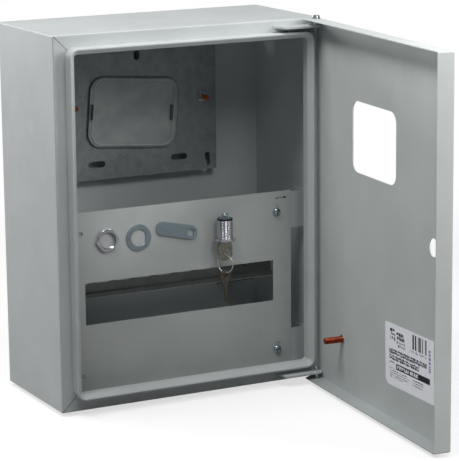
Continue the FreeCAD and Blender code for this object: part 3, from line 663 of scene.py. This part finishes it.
def barrel(t, r):
    """Radius of the lock's thread, cut by two flats and a groove towards the front."""
    side = abs(math.cos(t))
    if side > 0.1:
        r = min(r, LOCK_FLAT / side)
    apart = abs((math.degrees(t) - LOCK_GROOVE_AT + 180.0) % 360.0 - 180.0)
    return min(r, LOCK_GROOVE_R) if apart < LOCK_GROOVE_HALF else r


def lock_body():
    thread = thread_rows(LOCK_R, depth=0.5, pitch=1.1, low=FLANGE_TOP, high=LOCK_TOP,
                         limit=lambda h: min(LOCK_R, LOCK_CHAMFER_R + LOCK_TOP - h), shape=barrel)
    flange = [(9.6, FLANGE_TOP), (11.1, FLANGE_TOP), (FLANGE_R, FLANGE_TOP - 0.4),
              (FLANGE_R, LOCK_FACE + 1.3), (11.1, LOCK_FACE + 0.4), (10.3, LOCK_FACE),
              (LOCK_BORE, LOCK_FACE)]
    body = bmesh.new()
    rings(body, put_on_lock(0.0), [(LOCK_BORE, LOCK_TOP), *reversed(thread), *flange], 72, closed=True)
    add_piece("lock_body_threaded", body, CHROME, "cabinet", ("lock_body",))


def lock_collar():
    """Dark stop collar."""
    collar = bmesh.new()
    rows = [(2.55, 0.0), (2.55, 0.9), (6.4, 0.9), (6.7, 1.8), (8.2, 1.8), (8.5, 1.5), (8.5, 0.0)]
    rings(collar, put_on_lock(low_of("lock_collar")[2]), rows, 48, closed=True)
    add_piece("lock_collar_stepped", collar, BLACK, "lock_plug", ("lock_collar",))


def cam_screw():
    """Screw with its washer, above the collar."""
    put = put_on_lock(low_of("cam_screw")[2])
    top = 6.6
    screw = bmesh.new()
    rings(screw, put, [(0, top), (2.4, top), (3.3, 6.3), (3.75, 5.7), (3.85, 5.1), (3.85, 3.4), (3.1, 3.1),
                       (3.1, 2.2), (6.0, 2.0), (6.3, 1.7), (6.3, 1.0), (2.5, 0.9), (2.5, 0.0), (0, 0.0)], 36)
    screw = cut(screw, cross_tool(put, top, 3.0))
    add_piece("cam_screw_cross_head", screw, SCREW_ZINC, "lock_plug", ("cam_screw",))


def key_piece(name, outline, hole_z, hole_r, material, node):
    """Key cut from sheet, with rounded edges; its outline is measured from the ring hole."""
    def flat(a, b, h):
        return LOCK_X + a, LOCK_Y - h, hole_z + b
    key = bmesh.new()
    prism(key, flat, [(outline, -KEY_HALF_THICK), (outline, KEY_HALF_THICK)])
    hole = bmesh.new()
    sides = 24
    ring = [(hole_r * math.cos(math.tau * i / sides), hole_r * math.sin(math.tau * i / sides))
            for i in range(sides)]
    prism(hole, flat, [(ring, -2.0), (ring, 2.0)])
    key = cut(key, hole)
    soften(key, KEY_EDGE)
    add_piece(name, key, material, "lock_plug", (node,))


def key_in_lock():
    """Round bow, with the blade's stub standing up into the lock."""
    foot = low_of("key_in_lock")[2]
    hole_z = round(foot + 6.4, 1)
    tip = high_of("key_in_lock")[2] - hole_z
    shoulder = LOCK_FACE - 0.7 - hole_z
    ring = rounded(KEY_BOW_WIDE, KEY_BOW_LONG, KEY_BOW_R, 8, 0.0, foot + KEY_BOW_LONG / 2 - hole_z)
    bow = [(a, b) for a, b in ring if b < KEY_BOW_OPEN or abs(a) > KEY_NECK]
    before_stub = len([1 for a, b in bow if a > 0 and b > KEY_BOW_OPEN])
    right = [(KEY_BLADE, shoulder), (KEY_BLADE, tip - 0.5), (KEY_TIP, tip)]
    left = [(-a, b) for a, b in reversed(right)]
    outline = bow[:before_stub] + right + left + bow[before_stub:]
    key_piece("key_in_lock_rounded", outline, hole_z, 1.8, NICKEL, "key_in_lock")


def spare_key():
    """Pear-shaped bow and a toothed blade; the ring hole lies 6 mm under the top."""
    bow = [(3.2, 5.6), (5.4, 3.9), (6.7, 1.3), (7.0, -1.1), (6.5, -3.9), (5.2, -6.5), (3.3, -9.3),
           (2.5, -11.1)]
    teeth = [(-SPARE_BLADE, -13.3), (-SPARE_BLADE, -15.1), (-1.3, -15.9), (-SPARE_BLADE, -16.7),
             (-SPARE_BLADE, -18.7), (-1.1, -19.5), (-1.6, -20.3), (-SPARE_BLADE, -21.3),
             (-SPARE_BLADE, -23.5), (-1.2, -24.3), (-1.9, -25.1), (-SPARE_BLADE, -27.7)]
    tip = [(0.0, -30.4), (SPARE_BLADE, -28.5), (SPARE_BLADE, -13.3)]
    left = [(-a, b) for a, b in bow]
    outline = left + teeth + tip + bow[::-1] + [(0.0, 5.95)]
    hole_z = round(high_of("spare_key")[2] - 6.0, 1)
    key_piece("spare_key_toothed", outline, hole_z, 2.2, OLD_NICKEL, "spare_key")


# Window pane lying on the meter plate

PANE_LEAN = 4.5
PANE_FOOT = 0.15
PANE_THICK = 2.5
PANE_OUTER = (108.0, 78.0, 16.0)
PANE_BEVEL = (107.4, 77.4, 15.7)
PANE_INNER = (106.6, 76.6, 15.3)
PANE_SLAB = (106.5, 76.5, 15.2)
CLIP_HIGH = 17.0


def window_pane():
    """Clear slab; a dark edge round it, painted shade for its refracting border; a raised rim whose pale,
    nearly opaque plastic is partly painted highlight; two spring clips.
    """
    x, _, z = middle_of("window_pane")
    put = put_out(x, PLATE_FRONT, z, PANE_LEAN)
    slab = bmesh.new()
    prism(slab, put, [(rounded(*PANE_SLAB), PANE_FOOT), (rounded(*PANE_SLAB), PANE_THICK)])
    add_piece("window_pane_slab", slab, PANE, "cabinet", ("window_pane",))
    # Dark edge round the slab: painted shade.
    edge = bmesh.new()
    hoop(edge, put, [(*PANE_INNER, PANE_FOOT), (*PANE_BEVEL, PANE_FOOT), (*PANE_OUTER, 0.6),
                     (*PANE_OUTER, 1.9), (*PANE_BEVEL, PANE_THICK), (*PANE_INNER, PANE_THICK)])
    add_piece("window_pane_edge_painted_shade", edge, PANE_EDGE_SHADE, "cabinet")
    # Raised rim, nearly opaque: partly painted highlight.
    rim = bmesh.new()
    hoop(rim, put, [(98.0, 73.0, 12.0, PANE_THICK), (97.8, 72.8, 11.9, 3.3), (97.2, 72.2, 11.6, 3.5),
                    (96.2, 71.2, 11.1, 3.5), (95.7, 70.7, 10.8, 3.2), (95.6, 70.6, 10.8, PANE_THICK)])
    add_piece("window_pane_rim_painted_highlight", rim, PANE_RIM_HIGHLIGHT, "cabinet")
    clips = bmesh.new()
    for at, wide in ((-50.2, 1.8), (46.0, 3.0)):
        foot = rounded(wide, CLIP_HIGH, 0.5, 2, at)
        crest = rounded(wide * 0.6, CLIP_HIGH * 0.94, 0.4, 2, at)
        prism(clips, put, [(foot, PANE_THICK), (foot, 4.6), (crest, 5.4)])
    add_piece("window_pane_clips", clips, PANE_CLIP, "cabinet")


# Sticker print: bars and small blocks only, measured from the film's upper left corner as seen

STICKER_HALF_W = 56.0
STICKER_HALF_H = 32.6
STICKER_FAR_EDGE = -51.2
STICKER_THICK = 0.15
PRINT_SQUEEZE = 0.957
INK_LOW = -0.01
INK_HIGH = 0.03
BAR_TOP = 2.4
BAR_FOOT = 17.6
put_on_sticker = put_on_door(STICKER_X, STICKER_Z, STICKER_LEAN)


def put_print(a, b, h):
    return put_on_sticker(STICKER_HALF_W - a * PRINT_SQUEEZE, STICKER_HALF_H - b, STICKER_THICK + h)


def chances(seed):
    """Endless repeatable numbers from 0 to 1."""
    while True:
        seed = (seed * 1103515245 + 12345) % 2 ** 31
        yield seed / 2 ** 31


CHANCE = chances(7)


def block(bm, put, a0, a1, b0, b1):
    outline = [(a0, b0), (a1, b0), (a1, b1), (a0, b1)]
    prism(bm, put, [(outline, INK_LOW), (outline, INK_HIGH)])


def band(bm, put, a0, a1, b0, b1, word, gap):
    """Row of uneven blocks, about as wide as word and as far apart as gap."""
    a = a0
    while a < a1:
        wide = min(word * (0.45 + next(CHANCE)), a1 - a)
        low = b0 + (b1 - b0) * 0.3 * (next(CHANCE) > 0.6)
        high = b1 - (b1 - b0) * 0.3 * (next(CHANCE) > 0.6)
        block(bm, put, a, a + wide, low, high)
        a += wide + gap * (0.5 + next(CHANCE))


def sticker_film():
    film = bmesh.new()
    small = 2.0
    large = 8.0
    right = STICKER_HALF_W - small
    top = STICKER_HALF_H - small
    left = STICKER_FAR_EDGE + small
    outline = corners(((right, top, small), (left, top, small), (left, -top, small),
                       (STICKER_HALF_W - large, large - STICKER_HALF_H, large)))
    prism(film, put_on_sticker, [(outline, 0.0), (outline, STICKER_THICK)])
    add_piece("door_label_film", film, FILM, "door", ("door_label",))


def sticker_print():
    black = bmesh.new()
    grey = bmesh.new()
    violet = bmesh.new()
    rows = [
        (black, 12, 22, 5.0, 8.5, 5.0, 0.8), (black, 14, 24, 9.4, 11.4, 3.0, 0.8),
        (grey, 12, 24, 13.0, 17.0, 3.2, 1.4), (black, 27, 43, 7.0, 10.4, 3.4, 0.6),
        (black, 28, 45, 11.0, 14.6, 3.0, 0.6), (grey, 27, 46, 16.0, 18.6, 2.6, 0.9),
        (grey, 30, 47, 19.4, 22.4, 2.6, 0.9), (grey, 58, 96, 18.8, 21.4, 1.6, 2.0),
        (black, 9.5, 96, 26.2, 28.6, 3.0, 0.7), (black, 9.5, 96, 28.9, 31.4, 3.0, 0.7),
        (black, 10, 79, 32.6, 34.8, 3.0, 0.7), (black, 10, 79, 35.2, 37.6, 3.0, 0.7),
        (grey, 10.5, 22, 39.4, 41.6, 2.4, 0.8), (black, 30, 76, 41.6, 45.0, 2.2, 3.0)]
    rows += [(grey, 11, end, b, b + 1.1, 4.0, 0.8)
             for b, end in ((46.0, 24), (48.4, 52), (50.8, 56), (53.2, 56), (55.4, 40))]
    rows += [(grey, 63, 88, b, b + 1.3, 4.0, 1.0) for b in (48.6, 51.2, 53.8)]
    for ink, *row in rows:
        band(ink, put_print, *row)
    bars = ((63.8, 3.4, black), (69.6, 3.0, black), (76.0, 2.2, grey), (79.2, 3.6, black),
            (85.4, 2.6, grey), (92.0, 3.8, grey))
    for a, wide, ink in bars:
        block(ink, put_print, a, a + wide, BAR_TOP, BAR_FOOT)
    box_top, box_in, box_out, box_foot = 40.2, 41.6, 45.0, 46.4
    for a0, a1, b0, b1 in ((25.5, 103, box_top, box_in), (25.5, 103, box_out, box_foot),
                           (25.5, 28.0, box_in, box_out), (76.0, 103, box_in, box_out)):
        block(black, put_print, a0, a1, b0, b1)
    marks = ((11.2, 2.4), (14.8, 2.2), (18.4, 3.0), (22.8, 2.6), (27.0, 1.4), (29.2, 1.6), (31.6, 2.2))
    for b, high in marks:
        block(violet, put_print, 100.4, 104.6, b, b + high)
    add_piece("label_print_black", black, INK_BLACK, "door")
    add_piece("label_print_grey", grey, INK_GREY, "door")
    add_piece("label_print_violet", violet, INK_PURPLE, "door")


def panel_mark():
    """Small printed bars at the upper corner of the inner panel."""
    mark = bmesh.new()
    band(mark, put_out(0.0, PANEL_FRONT, 0.0), 116.0, 128.5, -1.6, 0.3, 2.6, 0.5)
    add_piece("panel_mark", mark, INK_BLACK, "cabinet")


def flange_seams():
    """Butt seams of the folded front flange, from each corner to the foot of the rim."""
    reach = 15.0
    inset = 0.8 + reach / 2
    outline = rounded(reach * 1.4, 0.7, 0.3, 2)
    seams = bmesh.new()
    for side in (-1, 1):
        for end in (-1, 1):
            put = put_out(side * (HALF_W - inset), FRONT, end * (HALF_H - inset), -45.0 * side * end)
            prism(seams, put, [(outline, -0.1), (outline, 0.05)])
    add_piece("front_flange_seams", seams, SEAM, "cabinet")


pan_screws("panel_screws_cross_head", "panel_screws", shank_r=2.4, turns=(20.0, 62.0))
pan_screws("rail_screws_cross_head", "rail_screws", shank_r=2.5, turns=(35.0, 10.0))
for build in (rail_lip_highlight, plate_studs, door_earth_stud, lock_nut, lock_washer, lock_cam, lock_body,
              lock_collar, cam_screw, key_in_lock, spare_key, window_pane, sticker_film, sticker_print,
              panel_mark, flange_seams):
    build()


# Stage, light and camera, in metres

WHITE = (1.0, 1.0, 1.0, 1.0)
MIRRORED = 0.35
FLOOR_HALF = 12.0
FLOOR_DROP = 0.0005
FLOOR_CATCH = 0.55
FLOOR_PLAIN = 1.25
FLOOR_BOUNCE = (0.3, 0.3, 0.3, 1.0)
FLOOR_SHADED = (0.42, 0.42, 0.42, 1.0)
FLOOR_LIFT = 0.66
STAGE_MIDDLE = (0, -0.15, 0)
LIGHTS = {
    "overhead_left": ((-0.6, -0.5, 1.3), (0.6, 0.4), 8.0),
    "overhead_back": ((-0.6, 0.0, 1.4), (0.5, 0.5), 7.7),
    "overhead_near": ((0.0, -0.8, 0.7), (0.25, 0.25), 1.7),
    "left_back": ((-1.0, 1.2, 0.4), (0.6, 0.6), 12.8),
    "right_front": ((1.3, -1.3, 0.6), (0.6, 0.6), 13.2),
    "door_edge": ((0.34, -0.64, 0.46), (0.2, 0.2), 1.1),
}
UNMIRRORED = ("right_front",)
CAMERA_PLACE = (-1.037746, -2.223728, 0.473289)
CAMERA_TURN = (78.0257, 0.57434, -27.60042)
CAMERA_LENS = 175.643
CAMERA_SENSOR = 36.0
CAMERA_REACH = 50.0


def seen_directly(tree):
    """1 for camera and transmission rays, else 0."""
    path = add_node(tree, "LightPath")
    either = add_node(tree, "Math")
    either.operation = "MAXIMUM"
    tree.links.new(path.outputs["Is Camera Ray"], either.inputs[0])
    tree.links.new(path.outputs["Is Transmission Ray"], either.inputs[1])
    return either.outputs[0]


def mix_shader(tree, fac, first, second):
    """Second shader where fac is 1, first where it is 0; no first one gives black."""
    mix = add_node(tree, "MixShader")
    tree.links.new(fac, mix.inputs["Fac"])
    if first is not None:
        tree.links.new(first, mix.inputs[1])
    tree.links.new(second, mix.inputs[2])
    return mix.outputs["Shader"]


def floor_material():
    """White floor that keeps the object's soft shadow and fades to plain white further out."""
    mat = bpy.data.materials.new("floor_white")
    mat.use_nodes = True
    t = mat.node_tree
    t.nodes.clear()
    bounce = add_node(t, "BsdfDiffuse", Color=FLOOR_BOUNCE)
    shaded = add_node(t, "BsdfDiffuse", Color=FLOOR_SHADED)
    lift = add_node(t, "Emission", Strength=FLOOR_LIFT)
    white = add_node(t, "Emission", Strength=1.0)
    caught = add_node(t, "AddShader")
    t.links.new(shaded.outputs[0], caught.inputs[0])
    t.links.new(lift.outputs[0], caught.inputs[1])
    away = add_node(t, "VectorMath")
    away.operation = "LENGTH"
    t.links.new(add_node(t, "TexCoord").outputs["Object"], away.inputs[0])
    fade = add_node(t, "MapRange", **{"From Min": FLOOR_CATCH, "From Max": FLOOR_PLAIN})
    fade.interpolation_type = "SMOOTHSTEP"
    t.links.new(away.outputs["Value"], fade.inputs["Value"])
    shown = mix_shader(t, fade.outputs["Result"], caught.outputs[0], white.outputs[0])
    surface = mix_shader(t, seen_directly(t), bounce.outputs[0], shown)
    t.links.new(surface, add_node(t, "OutputMaterial").inputs["Surface"])
    return mat


def add_floor():
    mesh = bpy.data.meshes.new("floor")
    bm = bmesh.new()
    bmesh.ops.create_grid(bm, x_segments=2, y_segments=2, size=FLOOR_HALF)
    bm.to_mesh(mesh)
    bm.free()
    floor = bpy.data.objects.new("floor", mesh)
    bpy.context.scene.collection.objects.link(floor)
    floor.location = (STAGE_MIDDLE[0], STAGE_MIDDLE[1], before[0][2] - FLOOR_DROP)
    mesh.materials.append(floor_material())


def add_world():
    """White round the object, and a grey that only shiny pieces mirror."""
    world = bpy.data.worlds.new("studio")
    bpy.context.scene.world = world
    world.use_nodes = True
    t = world.node_tree
    t.nodes.clear()
    mirrored = add_node(t, "Background", Color=WHITE, Strength=MIRRORED)
    white = add_node(t, "Background", Color=WHITE, Strength=1.0)
    glossy = add_node(t, "LightPath").outputs["Is Glossy Ray"]
    around = mix_shader(t, glossy, None, mirrored.outputs[0])
    surface = mix_shader(t, seen_directly(t), around, white.outputs[0])
    t.links.new(surface, add_node(t, "OutputWorld").inputs["Surface"])


def add_area(name, place, size, power):
    light = bpy.data.lights.new(name, "AREA")
    light.shape = "RECTANGLE"
    light.size, light.size_y = size
    light.energy = power
    lamp = bpy.data.objects.new(name, light)
    bpy.context.scene.collection.objects.link(lamp)
    lamp.location = place
    aim = Vector(STAGE_MIDDLE) - Vector(place)
    lamp.rotation_euler = aim.to_track_quat("-Z", "Y").to_euler()
    lamp.visible_camera = False
    lamp.visible_glossy = name not in UNMIRRORED


def add_camera():
    data = bpy.data.cameras.new("camera")
    data.sensor_width = CAMERA_SENSOR
    data.lens = CAMERA_LENS
    data.clip_end = CAMERA_REACH
    camera = bpy.data.objects.new("camera", data)
    bpy.context.scene.collection.objects.link(camera)
    camera.location = CAMERA_PLACE
    camera.rotation_euler = [math.radians(angle) for angle in CAMERA_TURN]
    bpy.context.scene.camera = camera


add_world()
add_floor()
for name, (place, size, power) in LIGHTS.items():
    add_area(name, place, size, power)
add_camera()
bpy.context.scene.view_settings.view_transform = "Standard"
